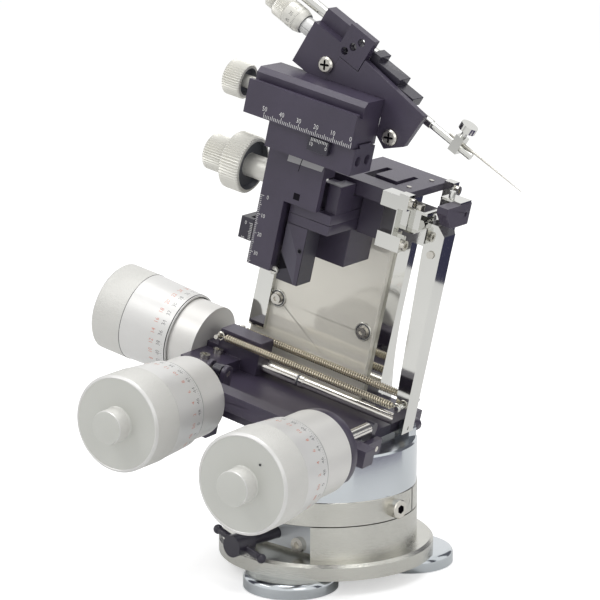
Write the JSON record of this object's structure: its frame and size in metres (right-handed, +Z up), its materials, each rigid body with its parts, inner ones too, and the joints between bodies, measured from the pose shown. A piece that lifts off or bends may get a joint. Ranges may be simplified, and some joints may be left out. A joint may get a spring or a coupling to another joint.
{
  "type": "micromanipulator",
  "caption": "Lever micromanipulator on a lockable turntable, with large drum heads for fine motion, rack slides for coarse motion and a screw fed electrode holder.",
  "frame": {"origin": "on the bench plane under the turntable's axis", "axes": "+Z up along the turntable's axis, +X to the right along the long rod's direction seen from above, +Y to the rear"},
  "size_m": [0.2665, 0.2165, 0.3036],
  "materials": {
    "bright_chrome": "mirror polished",
    "brushed_nickel": "brushed",
    "screw_steel": "bright",
    "wire_steel": "oiled",
    "satin_aluminium": "satin anodised",
    "black_aluminium": "black anodised",
    "dark_steel": "blackened",
    "pad_brass": "plain"
  },
  "bodies": {
    "stand": {"feet": "bright_chrome", "flange": "brushed_nickel", "fixed_ring": "brushed_nickel", "clamp_bar": "brushed_nickel", "bar_screws": "screw_steel", "brake_pad": "pad_brass"},
    "lock": {"lock_screw": "dark_steel", "tommy_bar": "screw_steel"},
    "turntable": {"turret": "bright_chrome", "clamp_collar": "brushed_nickel", "collar_screw": "screw_steel", "tilt_pins": "screw_steel"},
    "head": {"head_plate": "black_aluminium", "drum_block": "black_aluminium", "block_screws": "screw_steel", "cross_beam": "black_aluminium", "rear_frame": "bright_chrome", "mirror_plate": "bright_chrome", "plate_screws": "screw_steel", "side_strip": "bright_chrome", "end_beam": "black_aluminium", "head_pins": "screw_steel", "sleeve_a": "satin_aluminium", "sleeve_b": "satin_aluminium", "sleeve_c": "satin_aluminium", "spring_front": "wire_steel", "spring_rear": "wire_steel"},
    "rod_a": {"push_rod_a": "wire_steel"},
    "rod_b": {"push_rod_b": "wire_steel"},
    "rod_c": {"push_rod_c": "wire_steel"},
    "drum_head_a": {"drum_a": "satin_aluminium"},
    "drum_head_b": {"drum_b": "satin_aluminium"},
    "drum_head_c": {"drum_c": "satin_aluminium"},
    "lever": {"x_lever": "bright_chrome"},
    "crank_y": {"y_crank": "dark_steel"},
    "crank_z": {"z_crank": "dark_steel"},
    "stage_x": {"top_frame": "black_aluminium", "leaf_clamps": "bright_chrome", "stage_screws": "screw_steel"},
    "stage_y": {"y_block": "black_aluminium"},
    "stage_z": {"z_bracket": "black_aluminium", "v_rail": "dark_steel", "v_vernier": "dark_steel"},
    "vertical_slide": {"v_slide": "black_aluminium", "h_rail": "black_aluminium", "h_vernier": "dark_steel"},
    "coarse_knob": {"coarse_wheel": "satin_aluminium"},
    "small_knob": {"fine_knob": "satin_aluminium"},
    "horizontal_slide": {"h_slide": "black_aluminium", "angle_bracket": "black_aluminium", "drive_body": "black_aluminium", "bracket_screws": "screw_steel", "mic_sleeve": "satin_aluminium"},
    "slide_knob": {"h_knob": "satin_aluminium"},
    "feed": {"carriage": "dark_steel", "guide_rod": "bright_chrome", "holder": "bright_chrome", "electrode": "screw_steel"},
    "feed_thimble": {"mic_thimble": "satin_aluminium"},
    "clamp_knob": {"clamp_thumbscrew": "bright_chrome"}
  },
  "joints": [
    {"name": "turret_turn", "type": "hinge", "parent": "stand", "child": "turntable", "pos_m": [0, 0, 0.046], "axis": [0, 0, 1], "continuous": true},
    {"name": "lock_turn", "type": "hinge", "parent": "stand", "child": "lock", "pos_m": [-0.00784, -0.03688, 0.0244], "axis": [-0.2079, -0.9781, 0], "range_deg": [0, 360]},
    {"name": "head_tilt", "type": "hinge", "parent": "turntable", "child": "head", "pos_m": [0.036, 0, 0.0732], "axis": [0, 1, 0], "range_deg": [-13, 7]},
    {"name": "rod_a_slide", "type": "slide", "parent": "head", "child": "rod_a", "axis": [0.9744, 0, -0.225], "range_m": [-0.003, 0.003]},
    {"name": "drum_a_turn", "type": "hinge", "parent": "rod_a", "child": "drum_head_a", "pos_m": [-0.08617, 0.008, 0.10859], "axis": [0.9744, 0, -0.225], "range_deg": [-1080.54, 1080.54]},
    {"name": "rod_b_slide", "type": "slide", "parent": "head", "child": "rod_b", "axis": [0, 1, 0], "range_m": [-0.003, 0.003]},
    {"name": "drum_b_turn", "type": "hinge", "parent": "rod_b", "child": "drum_head_b", "pos_m": [-0.04592, -0.0695, 0.09622], "axis": [0, 1, 0], "range_deg": [-1080.54, 1080.54]},
    {"name": "rod_c_slide", "type": "slide", "parent": "head", "child": "rod_c", "axis": [0, 1, 0], "range_m": [-0.003, 0.003]},
    {"name": "drum_c_turn", "type": "hinge", "parent": "rod_c", "child": "drum_head_c", "pos_m": [0.04425, -0.097, 0.08669], "axis": [0, 1, 0], "range_deg": [-1080.54, 1080.54]},
    {"name": "lever_rock", "type": "hinge", "parent": "head", "child": "lever", "pos_m": [0.05898, 0.008, 0.17053], "axis": [0, 1, 0], "range_deg": [-1.85, 1.85], "deforming": ["spring_front", "spring_rear"]},
    {"name": "crank_y_rock", "type": "hinge", "parent": "head", "child": "crank_y", "pos_m": [-0.04372, -0.036, 0.10577], "axis": [0.9744, 0, -0.225], "range_deg": [-17.57, 17.57]},
    {"name": "crank_z_rock", "type": "hinge", "parent": "head", "child": "crank_z", "pos_m": [0.04204, -0.0316, 0.07714], "axis": [0.9744, 0, -0.225], "range_deg": [-17.57, 17.57]},
    {"name": "stage_x_slide", "type": "slide", "parent": "head", "child": "stage_x", "axis": [0.9744, 0, -0.225], "range_m": [-0.0004299, 0.0004299]},
    {"name": "stage_y_slide", "type": "slide", "parent": "stage_x", "child": "stage_y", "axis": [0, 1, 0], "range_m": [-0.0004299, 0.0004299]},
    {"name": "stage_z_slide", "type": "slide", "parent": "stage_y", "child": "stage_z", "axis": [0.225, 0, 0.9744], "range_m": [-0.0004299, 0.0004299]},
    {"name": "vertical_travel", "type": "slide", "parent": "stage_z", "child": "vertical_slide", "axis": [0.225, 0, 0.9744], "range_m": [-0.012, 0.016]},
    {"name": "coarse_turn", "type": "hinge", "parent": "vertical_slide", "child": "coarse_knob", "pos_m": [-0.0385, -0.029, 0.21551], "axis": [0.9744, 0, -0.225], "range_deg": [-172.06, 229.41]},
    {"name": "small_turn", "type": "hinge", "parent": "vertical_slide", "child": "small_knob", "pos_m": [-0.05214, -0.029, 0.21865], "axis": [0.9744, 0, -0.225], "range_deg": [-860.3, 1147.06]},
    {"name": "horizontal_travel", "type": "slide", "parent": "vertical_slide", "child": "horizontal_slide", "axis": [0.9744, 0, -0.225], "range_m": [-0.012, 0.038]},
    {"name": "slide_knob_turn", "type": "hinge", "parent": "horizontal_slide", "child": "slide_knob", "pos_m": [-0.01699, -0.035, 0.25398], "axis": [0.9744, 0, -0.225], "range_deg": [-137.65, 435.88]},
    {"name": "feed_travel", "type": "slide", "parent": "horizontal_slide", "child": "feed", "axis": [0.8387, 0, -0.5446], "range_m": [-0.006, 0.006]},
    {"name": "feed_thimble_turn", "type": "hinge", "parent": "feed", "child": "feed_thimble", "pos_m": [-0.01775, -0.0185, 0.2945], "axis": [0.8387, 0, -0.5446], "range_deg": [-4322.16, 4322.16]},
    {"name": "clamp_knob_turn", "type": "hinge", "parent": "feed", "child": "clamp_knob", "pos_m": [0.08501, -0.01535, 0.23462], "axis": [0.5446, 0, 0.8387], "range_deg": [0, 360]}
  ],
  "couplings": [
    {"joint": "drum_a_turn", "follows": "rod_a_slide", "rad_per_m": 6283.2},
    {"joint": "lever_rock", "follows": "rod_a_slide", "rad_per_m": -10.753},
    {"joint": "stage_x_slide", "follows": "rod_a_slide", "ratio": -0.14301},
    {"joint": "drum_b_turn", "follows": "rod_b_slide", "rad_per_m": 6283.2},
    {"joint": "crank_y_rock", "follows": "rod_b_slide", "rad_per_m": 102.04},
    {"joint": "stage_y_slide", "follows": "rod_b_slide", "ratio": 0.14301},
    {"joint": "drum_c_turn", "follows": "rod_c_slide", "rad_per_m": 6283.2},
    {"joint": "crank_z_rock", "follows": "rod_c_slide", "rad_per_m": -102.04},
    {"joint": "stage_z_slide", "follows": "rod_c_slide", "ratio": 0.14301},
    {"joint": "coarse_turn", "follows": "vertical_travel", "rad_per_m": 250},
    {"joint": "small_turn", "follows": "vertical_travel", "rad_per_m": 1250},
    {"joint": "slide_knob_turn", "follows": "horizontal_travel", "rad_per_m": 200},
    {"joint": "feed_thimble_turn", "follows": "feed_travel", "rad_per_m": 12566}
  ]
}
